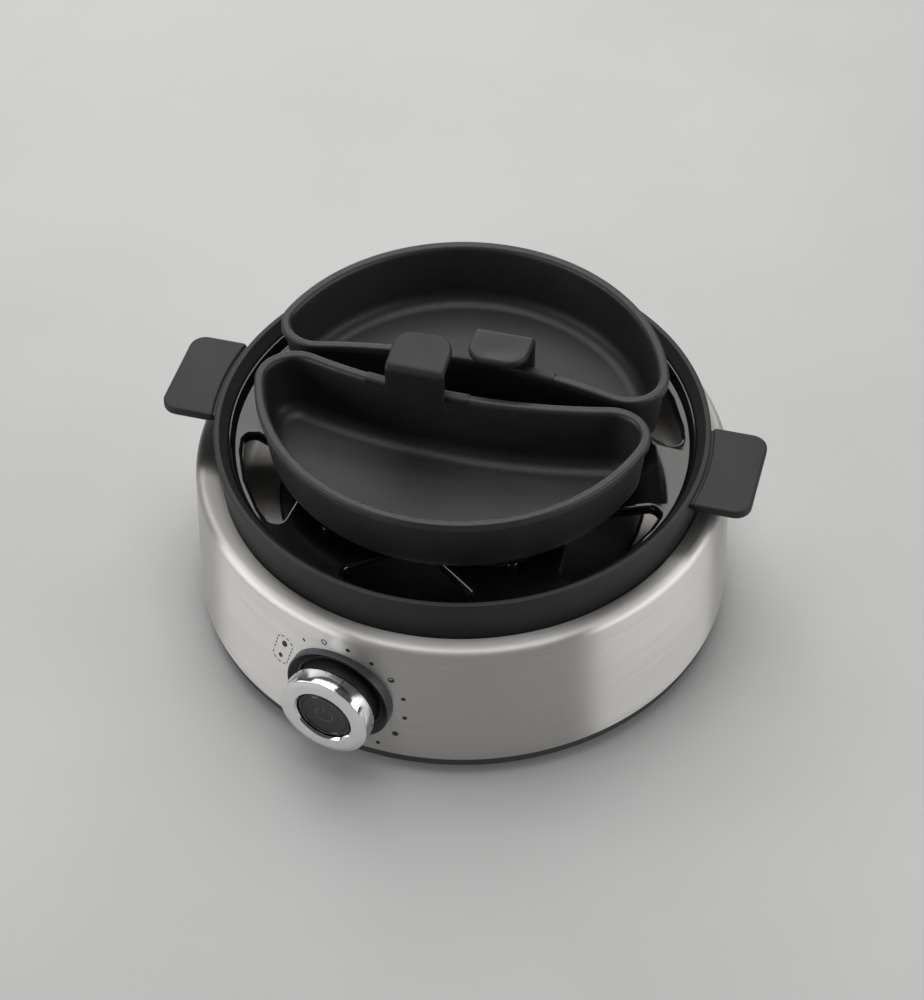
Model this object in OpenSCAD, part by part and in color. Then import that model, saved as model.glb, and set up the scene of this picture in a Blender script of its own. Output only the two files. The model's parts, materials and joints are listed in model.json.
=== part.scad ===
// Egg cooker: a steel water bowl heated from below, an egg tray that lifts off with two
// paddle handles, two half-round poaching pans standing on the tray, and a timer knob.
// Millimetres. +Z is up, the origin is on the table under the body's axis, -Y is the front.

/* [Body] */
// Radius of the steel body at its shoulder
shoulder_r = 97.5; // [95:0.5:105]
// Height of the shoulder above the table
shoulder_z = 63.5; // [62:0.5:70]
// How much wider the steel is at its bottom edge than at the shoulder
flare = 2; // [0:0.5:3]
// Thickness of the body's sheet steel
sheet = 0.8; // [0.6:0.1:1.2]
// Height of the steel's bottom edge above the table
steel_bottom_z = 8.5; // [8:0.5:10]

/* [Egg tray] */
// Outer radius of the carrier ring
ring_r = 88.3; // [88:0.1:88.5]
// Height of the carrier ring's rim
ring_top_z = 79.2; // [77:0.1:80]
// Turn of the tray and its pans about the body's axis, in degrees
tray_turn = 11; // [-90:0.5:90]
// Radius to the end of each paddle handle
handle_r = 109.2; // [104:0.2:112]
// Width of each paddle handle
handle_w = 40; // [30:1:44]
// Radius of each egg hole
egg_hole_r = 19; // [17:0.5:20]
// Radius of the circle that the six outer egg holes stand on
egg_circle_r = 44.9; // [44:0.1:46]

/* [Poaching pans] */
// Radius of the pans' round side
pan_r = 73.7; // [72:0.1:76]
// Height of the pans' rim
pan_rim_z = 101.7; // [98:0.1:105]
// Height of the raised lip of the pans' grips
grip_top_z = 115.6; // [112:0.2:118]
// Width of each grip
grip_w = 21.5; // [18:0.5:22]

/* [Knob] */
// Height of the knob's axis
knob_z = 33.3; // [32:0.1:35]
// Radius of the chrome ring
knob_r = 17; // [16:0.5:18]
// Radius of the dark bezel behind the knob
bezel_r = 20; // [19.5:0.1:22]
// Distance from the body's axis to the front of the chrome ring
knob_front = 111.4; // [110:0.1:113]

/* [Hidden] */
$fn = 96;
eps = 0.01;

// Body
bottom_r = shoulder_r + flare;
shoulder_round = 3;
annulus_r = 88.9;                       // inner edge of the steel's top annulus
annulus_z = shoulder_z - 2.1;
flange_z = annulus_z - 1.2;             // top of the bowl's flange, on which the tray stands
flange_r = 93.5;
bowl_r = 84.6;                          // inner radius of the water bowl
bowl_floor_z = 44;
bowl_fillet = 5;
bowl_floor_hole = 68;
plate_r = 73.5;
plate_t = 2.5;
plate_under = bowl_floor_z - sheet - plate_t;

// Base
foot_h = 2.5;
floor_t = 2.5;
floor_top = foot_h + floor_t;
foot_w = 12;
foot_circle = 84;
post_r = 3.2;
post_circle = 64;
post_angles = [30, 150, 270];
screw_r = 1.6;
screw_len = 10;
screw_head_r = 3;

// Front controls, in the knob's own frame: z is the distance from the body's axis
steel_s = 98.6;
opening_r = 18.7;
cup_floor = 95;
cup_t = 1.6;
bush_r = 3.5;
shaft_r = 3;
shaft_bore = 1.6;
plunger_r = 1.3;
press = 1.2;                            // travel of the start button
cap_r = 10.2;
control_r = 8;
control_back = 87;
ring_depth = 7;
knob_back = knob_front - ring_depth;
hub_r = 15.3;
hub_back = cup_floor + cup_t + 1;
hub_face = knob_back + 2.6;
cap_back = hub_face + 1.6;
cap_front = knob_front - 1.2;

// Rear lead inlet
gland_z = 17;
gland_bore = 3.2;
gland_neck = 5.4;
gland_flange = 8;
clamp_y = 80;
clamp_x = 9.5;

// Heater
element_r = 52;
tube_r = 3.4;
element_z = plate_under - tube_r - 0.1;
cold_gap = 12;                          // half of the gap between the element's cold ends, in degrees
cold_end_z = 27;
shield_z = 30;
shield_r = 62;

// Control board
board = [70, 38, 1.6];
board_at = [0, -36, 12];
board_hole = [31, 15];

// Tray
tray_floor_z = 70.5;
tray_t = 1.8;
tray_r = 84.7;
ledge_z = 73.2;
ring_flare = 1.5;                       // how much wider the ring is at its top than at its foot
crown_w = 2.2;                          // width of the ring's flat crown
handle_t = 3.6;
lip_t = 1.6;
lip_h = 2.4;
window_in = 60.3;
window_out = 80;
window_half_in = 7.4;
window_half_out = 25;
window_round = 3.5;
support_r = 2;
support_circle = 66.6;

// Pans
pan_wall = 1.8;
rim_w = 3.5;
pan_bottom_z = 74.6;
pan_fillet = 7;
pan_draft = 3;
side_gap = 8.6;                         // centre line to a pan's inner side, on the short axis
side_r = 222;                           // radius of that concave side
corner_r = 14;
pan_steps = 6;
strip_len = 38.5;
strip_h = 1.6;
grip_plate_t = 3;
grip_top_t = 3.4;
grip_plate_y = 14.3;
grip_over = 4.3;                        // how far a grip reaches past the centre line
grip_bend_z = 113;                      // height of a grip's top at its bend
grip_bend_r = 2.2;
grip_lip_r = 7;                         // plan radius of a grip's two lip corners
grip_dish_r = 24;
grip_dish = 0.8;                        // depth of the thumb dish
grip_offset = 13.6;                     // centre line to the middle of a grip, along the long axis

// ---- helpers ----

// Local z points out of the front at the knob's height, local y points up.
module on_front() { translate([0, 0, knob_z]) rotate([90, 0, 0]) children(); }

// Local z points out of the back at the lead inlet's height.
module on_back() { translate([0, 0, gland_z]) rotate([-90, 0, 0]) children(); }

// Turns the tray and its pans with the handles.
module turned() { rotate(tray_turn) children(); }

module turned_profile(points, fn = 160) { rotate_extrude($fn = fn) polygon(points); }

function arc(c, r, a0, a1, n) = [for (i = [0:n]) c + r * [cos(a0 + (a1 - a0) * i / n),
    sin(a0 + (a1 - a0) * i / n)]];

function unit(v) = v / norm(v);

// Points that round the corner b of the path a-b-c to radius r.
function rounded_corner(a, b, c, r, n = 6) =
    let (u = unit(a - b), v = unit(c - b), half = acos(u * v) / 2,
         centre = b + unit(u + v) * r / sin(half), p = b + u * r / tan(half), q = b + v * r / tan(half),
         a0 = atan2(p[1] - centre[1], p[0] - centre[0]), a1 = atan2(q[1] - centre[1], q[0] - centre[0]),
         turn = a1 - a0 > 180 ? a1 - a0 - 360 : a1 - a0 < -180 ? a1 - a0 + 360 : a1 - a0)
    arc(centre, r, a0, a0 + turn, n);

// A closed outline with each corner rounded to its own radius, 0 leaving it sharp.
function rounded_outline(pts, radii) =
    [for (i = [0:len(pts) - 1])
        let (a = pts[(i + len(pts) - 1) % len(pts)], c = pts[(i + 1) % len(pts)])
        each radii[i] > 0 ? rounded_corner(a, pts[i], c, radii[i]) : [pts[i]]];

// Closed solid through rings of equally many points, from the first ring to the last.
module loft(rings) {
    n = len(rings[0]);
    m = len(rings);
    polyhedron(
        points = [for (r = rings) each r],
        faces = concat(
            [[for (i = [0:n - 1]) i]],
            [for (k = [0:m - 2]) for (i = [0:n - 1])
                let (j = (i + 1) % n) each [[k * n + i, (k + 1) * n + j, k * n + j],
                    [k * n + i, (k + 1) * n + i, (k + 1) * n + j]]],
            [[for (i = [n - 1:-1:0]) (m - 1) * n + i]]));
}

function smooth_point(p, i, t) =
    let (a = p[max(i - 1, 0)], b = p[i], c = p[i + 1], d = p[min(i + 2, len(p) - 1)])
    0.5 * (2 * b + (c - a) * t + (2 * a - 5 * b + 4 * c - d) * t * t + (3 * b - a - 3 * c + d) * t * t * t);

function smooth_path(p, steps) =
    concat([for (i = [0:len(p) - 2]) for (s = [0:steps - 1]) smooth_point(p, i, s / steps)], [p[len(p) - 1]]);

// Round tube of radius r along a path.
module tube_along(path, r, sides = 8) {
    function heading(i) = unit(path[min(i + 1, len(path) - 1)] - path[max(i - 1, 0)]);
    loft([for (i = [0:len(path) - 1])
        let (h = heading(i), side = unit(cross(h, abs(h[1]) > 0.9 ? [1, 0, 0] : [0, 1, 0])),
            up = cross(h, side))
        [for (k = [0:sides - 1]) path[i] + r * (cos(360 * k / sides) * side + sin(360 * k / sides) * up)]]);
}

// ---- body ----

module shell_outside(grow = 0) {
    turned_profile(concat(
        [[0, steel_bottom_z], [bottom_r + grow, steel_bottom_z]],
        arc([shoulder_r - shoulder_round, shoulder_z - shoulder_round], shoulder_round + grow, 2, 98, 8),
        [[annulus_r, annulus_z + grow], [0, annulus_z + grow]]));
}

module housing_shell() {
    color([0.72, 0.70, 0.67]) difference() {
        turned_profile(concat(
            [[bottom_r - sheet, steel_bottom_z], [bottom_r, steel_bottom_z]],
            arc([shoulder_r - shoulder_round, shoulder_z - shoulder_round], shoulder_round, 2, 98, 8),
            [[annulus_r, annulus_z], [annulus_r, annulus_z - sheet]],
            arc([shoulder_r - shoulder_round, shoulder_z - shoulder_round], shoulder_round - sheet, 98,
                2, 8)));
        on_front() translate([0, 0, steel_s - 10]) cylinder(r = opening_r, h = 20);
        on_back() translate([0, 0, steel_s - 10]) cylinder(r = gland_neck, h = 20);
    }
}

module base_plate() {
    color([0.13, 0.13, 0.14]) difference() {
        union() {
            turned_profile([
                [0, foot_h], [bottom_r - 3, foot_h], [bottom_r - 1, foot_h + 2],
                    [bottom_r - 0.4, steel_bottom_z - 0.1],
                [bottom_r - sheet - 0.3, steel_bottom_z - 0.1], [bottom_r - sheet - 0.3, steel_bottom_z + 3],
                [bottom_r - sheet - 2.2, steel_bottom_z + 3], [bottom_r - sheet - 2.2, steel_bottom_z - 1],
                [bottom_r - 4.2, floor_top], [0, floor_top]]);
            for (x = [-clamp_x, clamp_x])
                translate([x, clamp_y, floor_top - eps]) cylinder(r = 3.2,
                    h = gland_z + gland_bore - floor_top);
        }
        turned_profile([[foot_circle - foot_w / 2, 0], [foot_circle + foot_w / 2, 0],
            [foot_circle + foot_w / 2, foot_h + 1], [foot_circle - foot_w / 2, foot_h + 1]]);
        for (a = post_angles) rotate(a) translate([post_circle, 0, 0]) {
            cylinder(r = screw_r + 0.1, h = 20);
            translate([0, 0, foot_h - eps]) cylinder(r = screw_head_r + 0.1, h = 1.2);
        }
        for (x = [-clamp_x, clamp_x]) translate([x, clamp_y, floor_top + 3]) cylinder(r = 1.2, h = 30);
        for (row = [-2:2]) for (side = [-1, 1])
            translate([side * 30 - 10, row * 6 - 1 + 4, 0]) cube([20, 2, 20]);
        on_front() translate([0, 0, cup_floor - 2]) cylinder(r = opening_r, h = 10);
        on_back() translate([0, 0, 88]) cylinder(r = gland_neck + 1.4, h = 20);
    }
}

module foot_ring() {
    color([0.09, 0.09, 0.09]) turned_profile([
        [foot_circle - foot_w / 2 + 1, 0], [foot_circle + foot_w / 2 - 1, 0], [foot_circle + foot_w / 2, 1],
        [foot_circle + foot_w / 2, foot_h + 1], [foot_circle - foot_w / 2, foot_h + 1],
            [foot_circle - foot_w / 2, 1]]);
}

module screw(len, head_r, head_h = 1.1) {
    cylinder(r = head_r, h = head_h, $fn = 32);
    cylinder(r = screw_r - 0.05, h = len, $fn = 32);
}

module base_screws() {
    color([0.6, 0.6, 0.62]) for (a = post_angles) rotate(a) translate([post_circle, 0, foot_h]) difference() {
        screw(screw_len, screw_head_r);
        for (t = [0, 90]) rotate(t) translate([-1.6, -0.3, -eps]) cube([3.2, 0.6, 0.7]);
    }
}

module mounting_posts() {
    color([0.65, 0.65, 0.66]) for (a = post_angles) rotate(a) translate([post_circle, 0, floor_top])
        difference() {
        cylinder(r = post_r, h = plate_under - floor_top, $fn = 48);
        translate([0, 0, -eps]) cylinder(r = screw_r, h = screw_len, $fn = 32);
    }
}

// ---- bowl and heater ----

module heating_bowl() {
    bowl_arc = [bowl_r - bowl_fillet, bowl_floor_z + bowl_fillet];
    color([0.74, 0.73, 0.71]) turned_profile(concat(
        [[flange_r, flange_z], [bowl_r + 1.2, flange_z]],
        [[bowl_r, flange_z - 1.2]], arc(bowl_arc, bowl_fillet, 0, -90, 6), [[bowl_floor_hole, bowl_floor_z]],
        [[bowl_floor_hole, bowl_floor_z - sheet]], arc(bowl_arc, bowl_fillet + sheet, -90, 0, 6),
        [[bowl_r + sheet, flange_z - 1.6], [bowl_r + 1.4, flange_z - sheet], [flange_r, flange_z - sheet]]));
}

module heating_plate() {
    color([0.10, 0.10, 0.11]) turned_profile([
        [0, plate_under], [plate_r, plate_under], [plate_r, plate_under + plate_t - 0.1],
        [bowl_floor_hole - 0.2, plate_under + plate_t - 0.1], [bowl_floor_hole - 0.2, bowl_floor_z - 0.2],
        [bowl_floor_hole - 3, bowl_floor_z + 0.3], [bowl_floor_hole - 6, bowl_floor_z - 0.5],
        [30, bowl_floor_z - 1.1], [0, bowl_floor_z - 1.3]]);
}

module bowl_seal() {
    slope = (shoulder_z - annulus_z - 0.4) / (shoulder_r - shoulder_round - annulus_r);
    color([0.8, 0.8, 0.78]) turned_profile([
        [annulus_r + 0.6, flange_z + 0.05], [92, flange_z + 0.05],
        [92, annulus_z - sheet - 0.15 + (92 - annulus_r) * slope],
        [annulus_r + 0.6, annulus_z - sheet - 0.15 + 0.6 * slope]]);
}

module heating_element() {
    leg_at = cold_gap + 3;
    color([0.45, 0.43, 0.41]) {
        translate([0, 0, element_z]) rotate(90 + cold_gap) rotate_extrude(angle = 360 - 2 * cold_gap)
            translate([element_r, 0]) circle(r = tube_r, $fn = 32);
        for (a = [90 - leg_at, 90 + leg_at]) rotate(a) translate([element_r, 0, 0]) {
            translate([0, 0, cold_end_z]) cylinder(r = tube_r - 0.4, h = element_z - cold_end_z, $fn = 32);
            translate([0, 0, cold_end_z - 5]) cylinder(r = 1.2, h = 5 + eps, $fn = 24);
        }
    }
}

module heat_spreader() {
    groove = tube_r + 0.1;
    color([0.75, 0.75, 0.76]) difference() {
        rotate_extrude() difference() {
            translate([element_r - 7, element_z - 1]) square([14, tube_r + 1]);
            translate([element_r, element_z]) circle(r = groove, $fn = 32);
            translate([element_r - groove, element_z - 8]) square([2 * groove, 8]);
        }
        rotate(90) translate([element_r - 8, -16, element_z - 9]) cube([16, 32, 20]);
    }
}

module thermostat() {
    color([0.2, 0.19, 0.18]) {
        translate([0, 0, plate_under - 3]) cylinder(r = 9, h = 2.9, $fn = 48);
        translate([0, 0, plate_under - 8]) cylinder(r = 7.5, h = 5 + eps, $fn = 48);
    }
    color([0.8, 0.72, 0.4]) for (x = [-1, 1]) translate([x * 7.4 - 1, -3, plate_under - 7])
        cube([2 + eps, 6, 0.8]);
}

module thermostat_bracket() {
    color([0.7, 0.7, 0.71]) difference() {
        union() {
            translate([-22, -5, plate_under - 4.2]) cube([44, 10, 1]);
            for (x = [-22, 18]) translate([x, -5, plate_under - 4.2]) cube([4, 10, 4.1]);
        }
        translate([0, 0, plate_under - 6]) cylinder(r = 7.6, h = 5, $fn = 48);
    }
}

module thermal_fuse() {
    color([0.85, 0.83, 0.78]) translate([-8, -22, plate_under - 2.4]) rotate([0, 90, 0])
        cylinder(r = 2, h = 16, $fn = 32);
}

module temperature_sensor() {
    color([0.3, 0.3, 0.32]) translate([0, 24, plate_under - 9]) {
        cylinder(r = 2.5, h = 8.9, $fn = 32);
        cylinder(r = 4, h = 2, $fn = 6);
    }
}

module heat_shield() {
    color([0.78, 0.78, 0.79]) difference() {
        turned_profile([[0, shield_z], [shield_r, shield_z], [shield_r, shield_z + 5],
            [shield_r - sheet, shield_z + 5],
            [shield_r - sheet, shield_z + sheet], [0, shield_z + sheet]]);
        for (a = post_angles) rotate(a) translate([post_circle, 0, 0]) cylinder(r = post_r + 0.3, h = 50);
        for (a = [90 - cold_gap - 3, 90 + cold_gap + 3]) rotate(a) translate([element_r, 0, 0])
            cylinder(r = tube_r + 1.5, h = 50);
        translate([0, -10, 0]) cylinder(r = 6, h = 50);
    }
}

// ---- electronics ----

module board_corners() {
    for (x = [-1, 1]) for (y = [-1, 1]) translate(board_at + [x * board_hole[0], y * board_hole[1],
        0]) children();
}

module control_board() {
    color([0.08, 0.32, 0.16]) difference() {
        translate(board_at - [board[0] / 2, board[1] / 2, 0]) cube(board);
        board_corners() translate([0, 0, -1]) cylinder(r = 1.7, h = 5, $fn = 24);
    }
}

module board_standoffs() {
    color([0.85, 0.85, 0.82]) board_corners() translate([0, 0, floor_top - board_at[2]]) difference() {
        cylinder(r = 3, h = board_at[2] - floor_top, $fn = 32);
        translate([0, 0, 1]) cylinder(r = screw_r, h = 10, $fn = 24);
    }
}

module board_screws() {
    color([0.6, 0.6, 0.62]) board_corners() translate([0, 0, board[2]]) {
        cylinder(r = 2.8, h = 1.6, $fn = 32);
        translate([0, 0, -6]) cylinder(r = screw_r - 0.05, h = 6 + eps, $fn = 24);
    }
}

module on_board(x, y) { translate(board_at + [x, y, board[2]]) children(); }

module relay() { color([0.1, 0.25, 0.55]) on_board(-22, -8) cube([19, 15, 14]); }

module capacitor() { color([0.15, 0.15, 0.2]) on_board(12, 6) cylinder(r = 5, h = 13, $fn = 40); }

module buzzer() {
    color([0.07, 0.07, 0.07]) on_board(20, -7) difference() {
        cylinder(r = 6, h = 9, $fn = 48);
        translate([0, 0, 6]) cylinder(r = 1.2, h = 10, $fn = 24);
    }
}

module terminal_block() {
    color([0.88, 0.88, 0.85]) difference() {
        translate([-18, 48, floor_top]) cube([36, 16, 12]);
        for (x = [-12, 0, 12]) translate([x, 47, floor_top + 6]) rotate([-90, 0, 0])
            cylinder(r = 2.6, h = 18, $fn = 32);
    }
}

module cord_gland() {
    color([0.08, 0.08, 0.08]) on_back() difference() {
        rotate_extrude($fn = 64) polygon([
            [0, 92], [gland_neck + 1.2, 92], [gland_neck + 1.2, 96.5], [gland_neck - 0.1, 96.5],
                [gland_neck - 0.1, 100.2],
            [gland_flange, 100.2], [gland_flange, 102], [gland_flange - 1, 103], [gland_neck, 104.5],
                [0, 104.5]]);
        translate([0, 0, 90]) cylinder(r = gland_bore, h = 20);
    }
}

module cord_clamp() {
    color([0.85, 0.85, 0.83]) translate([0, clamp_y, gland_z + gland_bore + 0.1]) difference() {
        translate([-clamp_x - 4, -4, 0]) cube([2 * clamp_x + 8, 8, 3]);
        for (x = [-clamp_x, clamp_x]) translate([x, 0, -1]) cylinder(r = 1.3, h = 6, $fn = 24);
    }
}

module clamp_screws() {
    color([0.6, 0.6, 0.62]) for (x = [-clamp_x, clamp_x]) translate([x, clamp_y,
        gland_z + gland_bore + 3.1]) {
        cylinder(r = 2.6, h = 1.8, $fn = 32);
        translate([0, 0, -10]) cylinder(r = 1.15, h = 10 + eps, $fn = 24);
    }
}

// Insulated leads from the terminal block and the board to the heater and the timer.
lead_r = 1;
lead_routes = [
    [[-12, 47, 10.5], [-12, 40, 11], [-16, 36, 15], [-15, 44, 19], [-11, 50.9, 21.8]],
    [[12, 47, 10.5], [12, 40, 11], [16, 36, 15], [15, 44, 19], [11, 50.9, 21.8]],
    [[0, 47, 10.5], [0, 36, 9], [-4, 10, 9], [-14, -2, 13], [-20, -14, 17], [-20, -20, 17], [-20, -24, 14.7]],
    [[20, -52, 14.8], [20, -56, 17], [14, -66, 22], [6, -78, 28], [4, -83, 30]],
    [[4, -36, 14.8], [3, -32, 19], [1, -16, 25], [0, -10, 29], [0, -10, 32]]
];

module internal_leads() {
    colors = [[0.45, 0.25, 0.12], [0.15, 0.3, 0.6], [0.45, 0.25, 0.12], [0.75, 0.75, 0.72],
        [0.75, 0.75, 0.72]];
    for (i = [0:len(lead_routes) - 1]) color(colors[i]) tube_along(smooth_path(lead_routes[i], 3), lead_r);
}

// ---- timer control and knob ----

module rotary_control() {
    color([0.35, 0.37, 0.4]) on_front() difference() {
        union() {
            translate([0, 0, control_back]) cylinder(r = control_r, h = cup_floor - control_back, $fn = 64);
            translate([0, 0, cup_floor - eps]) cylinder(r = bush_r, h = 4.6, $fn = 48);
        }
        translate([0, 0, control_back - 1]) cylinder(r = shaft_r + 0.06, h = 20);
    }
}

module control_nut() {
    color([0.7, 0.66, 0.5]) on_front() translate([0, 0, cup_floor + cup_t]) difference() {
        cylinder(r = 6, h = 1.8, $fn = 6);
        translate([0, 0, -1]) cylinder(r = bush_r, h = 4);
    }
}

module tact_switch() {
    color([0.12, 0.12, 0.12]) on_front() {
        translate([-3, -3, control_back - 4]) cube([6, 6, 3.9]);
        translate([0, 0, control_back - 0.2]) cylinder(r = 1.4, h = 0.8, $fn = 32);
    }
}

module knob_bezel() {
    color([0.14, 0.14, 0.15]) difference() {
        on_front() rotate_extrude() polygon([
            [bush_r + 0.1, cup_floor], [opening_r - 0.1, cup_floor], [opening_r - 0.1, 96], [bezel_r, 96],
            [bezel_r, 99.8], [bezel_r - 0.4, 100.2], [bezel_r - 0.8, 99.9], [17.2, cup_floor + cup_t + 0.6],
            [16.4, cup_floor + cup_t], [bush_r + 0.1, cup_floor + cup_t]]);
        difference() {
            shell_outside(0.05);
            on_front() translate([0, 0, 90]) cylinder(r = opening_r - 0.1, h = 20);
        }
    }
}

module control_shaft() {
    color([0.78, 0.78, 0.8]) on_front() translate([0, 0, control_back + 1]) difference() {
        cylinder(r = shaft_r, h = hub_face - control_back - 1.4, $fn = 48);
        translate([0, 0, -1]) cylinder(r = shaft_bore, h = 30, $fn = 32);
    }
}

module knob_hub() {
    color([0.12, 0.12, 0.13]) on_front() rotate_extrude() polygon([
        [shaft_r, hub_back + 3], [7.2, hub_back + 3], [7.2, hub_back], [hub_r - 0.8, hub_back],
        [hub_r, hub_back + 0.8], [hub_r, knob_back - 0.4], [hub_r - 0.4, knob_back], [cap_r + 0.4, knob_back],
        [cap_r + 0.4, hub_face], [shaft_r, hub_face]]);
}

module knob_ring() {
    inner = cap_r + 0.4;
    color([0.85, 0.85, 0.87]) on_front() rotate_extrude() polygon(concat(
        [[inner, knob_back + eps]],
        [[knob_r - 0.5, knob_back + eps], [knob_r, knob_back + 0.5]],
        arc([knob_r - 1.6, knob_front - 1.6], 1.6, 0, 90, 6),
        [[inner + 1.4, knob_front - 0.2], [inner, knob_front - 1]]));
}

module button_cap() {
    color([0.05, 0.05, 0.06]) on_front() rotate_extrude() polygon([
        [plunger_r, cap_back], [cap_r - 0.4, cap_back], [cap_r, cap_back + 0.4], [cap_r, cap_front - 0.5],
        [cap_r - 0.5, cap_front], [0, cap_front - 0.4], [0, cap_back + 1], [plunger_r, cap_back + 1]]);
}

module button_plunger() {
    tip = control_back + 0.6 + press + 0.1;
    color([0.8, 0.8, 0.78]) on_front() translate([0, 0, tip])
        cylinder(r = plunger_r, h = cap_back + 1 - tip, $fn = 32);
}

module button_spring() {
    turns = 2.5;
    wire_r = 0.2;
    coil_r = 5;
    steps = 50;
    lift = cap_back - hub_face - 2 * wire_r - 0.1;
    color([0.75, 0.75, 0.77]) on_front() translate([0, 0, hub_face + wire_r + 0.05])
        tube_along([for (i = [0:steps]) [coil_r * cos(360 * turns * i / steps),
            coil_r * sin(360 * turns * i / steps),
            lift * i / steps]], wire_r, 6);
}

// ---- egg tray ----

module carrier_ring() {
    inner = tray_r + 0.2;
    skirt = ring_r - 2.2;
    bottom = flange_z + 0.4;
    top_r = ring_r + ring_flare;
    color([0.26, 0.26, 0.27]) turned() {
        turned_profile(concat(
            [[skirt, bottom], [ring_r, bottom]],
            arc([top_r - 0.8, ring_top_z - 0.8], 0.8, 0, 90, 4),
            arc([top_r - crown_w + 0.5, ring_top_z - 0.5], 0.5, 90, 150, 3),
            [[inner, ledge_z + 2.4], [inner, ledge_z], [inner - 1, ledge_z], [inner - 1, ledge_z - 1.4],
                [skirt, ledge_z - 4]]));
        for (side = [0, 180]) rotate(side) translate([0, 0, ring_top_z - handle_t]) difference() {
            linear_extrude(handle_t) polygon(rounded_outline(
                [[ring_r - 4, -handle_w / 2], [handle_r, -handle_w / 2], [handle_r, handle_w / 2],
                    [ring_r - 4, handle_w / 2]],
                [0, 6, 6, 0]));
            translate([0, 0, -1]) cylinder(r = ring_r + 0.2, h = 10, $fn = 160);
        }
    }
}

// One steam window, rounded, drawn on the +X side and grown by o.
function window_outline(o) =
    let (a = [window_in, window_half_in],
         d = unit([sqrt(pow(window_out, 2) - pow(window_half_out, 2)), window_half_out] - a),
         n = [-d[1], d[0]], p = a + o * n, r = window_out + o,
         low = p + d * (window_in - o - p[0]) / d[0],
         high = p + d * (-p * d + sqrt(pow(p * d, 2) - p * p + r * r)),
         edge = atan2(high[1], high[0]), corner = window_round + o)
    rounded_outline(
        concat([[low[0], -low[1]]], arc([0, 0], r, -edge, edge, 4), [low]),
        [corner, corner, 0, 0, 0, corner, corner]);

module at_windows() { for (a = [30:60:330]) rotate(a) children(); }

module at_egg_holes() {
    children();
    for (a = [0:60:300]) rotate(a) translate([egg_circle_r, 0, 0]) children();
}

// The studs that hold the pans off the tray: four between the windows, two between the egg holes.
module at_pan_supports() {
    for (a = [60, 120, 240, 300]) rotate(a) translate([support_circle, 0, 0]) children();
    for (side = [-1, 1]) translate([0, side * egg_circle_r / sqrt(3), 0]) children();
}

module egg_tray() {
    wall_in = window_out + 1.8;
    color([0.04, 0.04, 0.045]) turned() difference() {
        union() {
            turned_profile(concat(
                [[0, tray_floor_z - tray_t], [wall_in + 0.4, tray_floor_z - tray_t], [tray_r - 1.2, ledge_z]],
                [[tray_r, ledge_z], [tray_r, ledge_z + 1.4], [tray_r - 0.5, ledge_z + 1.9],
                    [tray_r - 1.6, ledge_z + 1.9]],
                [[wall_in, tray_floor_z], [0, tray_floor_z]]));
            translate([0, 0, tray_floor_z - tray_t - lip_h]) {
                at_windows() linear_extrude(lip_h + 0.5) polygon(window_outline(lip_t));
                at_egg_holes() cylinder(r = egg_hole_r + lip_t, h = lip_h + 0.5);
            }
        }
        at_windows() translate([0, 0, 60]) linear_extrude(20) polygon(window_outline(0));
        at_egg_holes() translate([0, 0, 60]) cylinder(r = egg_hole_r, h = 20);
    }
    color([0.04, 0.04, 0.045]) turned() at_pan_supports()
        translate([0, 0, tray_floor_z - 1]) cylinder(r = support_r,
            h = pan_bottom_z - 0.3 - tray_floor_z + 1, $fn = 32);
}

// ---- poaching pans ----

// Half-round outline moved inwards by o, in the plane at height z: a round side about the tray's
// axis, two rounded corners tangent to it, and a long concave side.
function pan_ring(o, z) =
    let (far = side_r - side_gap, k = pan_r - corner_r, reach = side_r + corner_r,
         cy = -(reach * reach - k * k - far * far) / (2 * far), cx = sqrt(k * k - cy * cy),
         out = atan2(cy, cx), side = acos(cx / reach), n = pan_steps)
    [for (p = concat(
        arc([0, 0], pan_r - o, -180 - out, out, 4 * n),
        arc([cx, cy], corner_r - o, out, 180 - side, n),
        arc([0, far], side_r + o, -side, side - 180, n),
        arc([-cx, cy], corner_r - o, side, 180 - out, n)))
        [p[0], p[1], z]];

// Rings of a quarter-round fillet of radius r that starts o inside the outline, at height z.
function pan_fillet_rings(o, z, r, from, to) =
    [for (i = [0:4]) let (a = from + (to - from) * i / 4) pan_ring(o + r * (1 - sin(a)),
        z + r * (1 - cos(a)))];

module pan() {
    difference() {
        loft(concat(
            pan_fillet_rings(pan_draft, pan_bottom_z, pan_fillet, 0, 90),
            [pan_ring(1.2, pan_rim_z - 3), pan_ring(0, pan_rim_z - 2.8), pan_ring(0, pan_rim_z - 0.8),
             pan_ring(0.8, pan_rim_z), pan_ring(rim_w - 0.8, pan_rim_z), pan_ring(rim_w, pan_rim_z - 1)],
            pan_fillet_rings(pan_draft + pan_wall, pan_bottom_z + pan_wall, pan_fillet - 1, 90, 0)));
        translate([-grip_offset, 0, 0]) grip_seat(0.1);
    }
}

// The strip by which a grip is clipped over the pan's straight rim.
module grip_seat(play = 0) {
    far = side_r - side_gap;
    translate([0, 0, pan_rim_z - strip_h - play]) intersection() {
        translate([grip_offset, far, 0]) difference() {
            cylinder(r = side_r + rim_w + 0.4 + play, h = 8, $fn = 360);
            translate([0, 0, -1]) cylinder(r = side_r - 0.4 - play, h = 12, $fn = 360);
        }
        translate([-strip_len / 2 - play, -40, 0]) cube([strip_len + 2 * play, 40, strip_h + 0.6]);
    }
}

// Side view of a grip's bent plate: up from the rim, round a bend and out to the raised lip.
module grip_profile() {
    inner = -grip_plate_y;
    outer = grip_over + 1;
    rise = (grip_top_z - grip_bend_z) / (grip_over - inner);
    function top(y) = grip_bend_z + (y - inner) * rise;
    polygon(rounded_outline(
        [[inner, pan_rim_z - strip_h], [inner + grip_plate_t, pan_rim_z - strip_h],
         [inner + grip_plate_t, top(inner + grip_plate_t) - grip_top_t], [outer, top(outer) - grip_top_t],
         [outer, top(outer)], [inner, grip_bend_z]],
        [0, 0, 1, 0, 0, grip_bend_r]));
}

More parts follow.
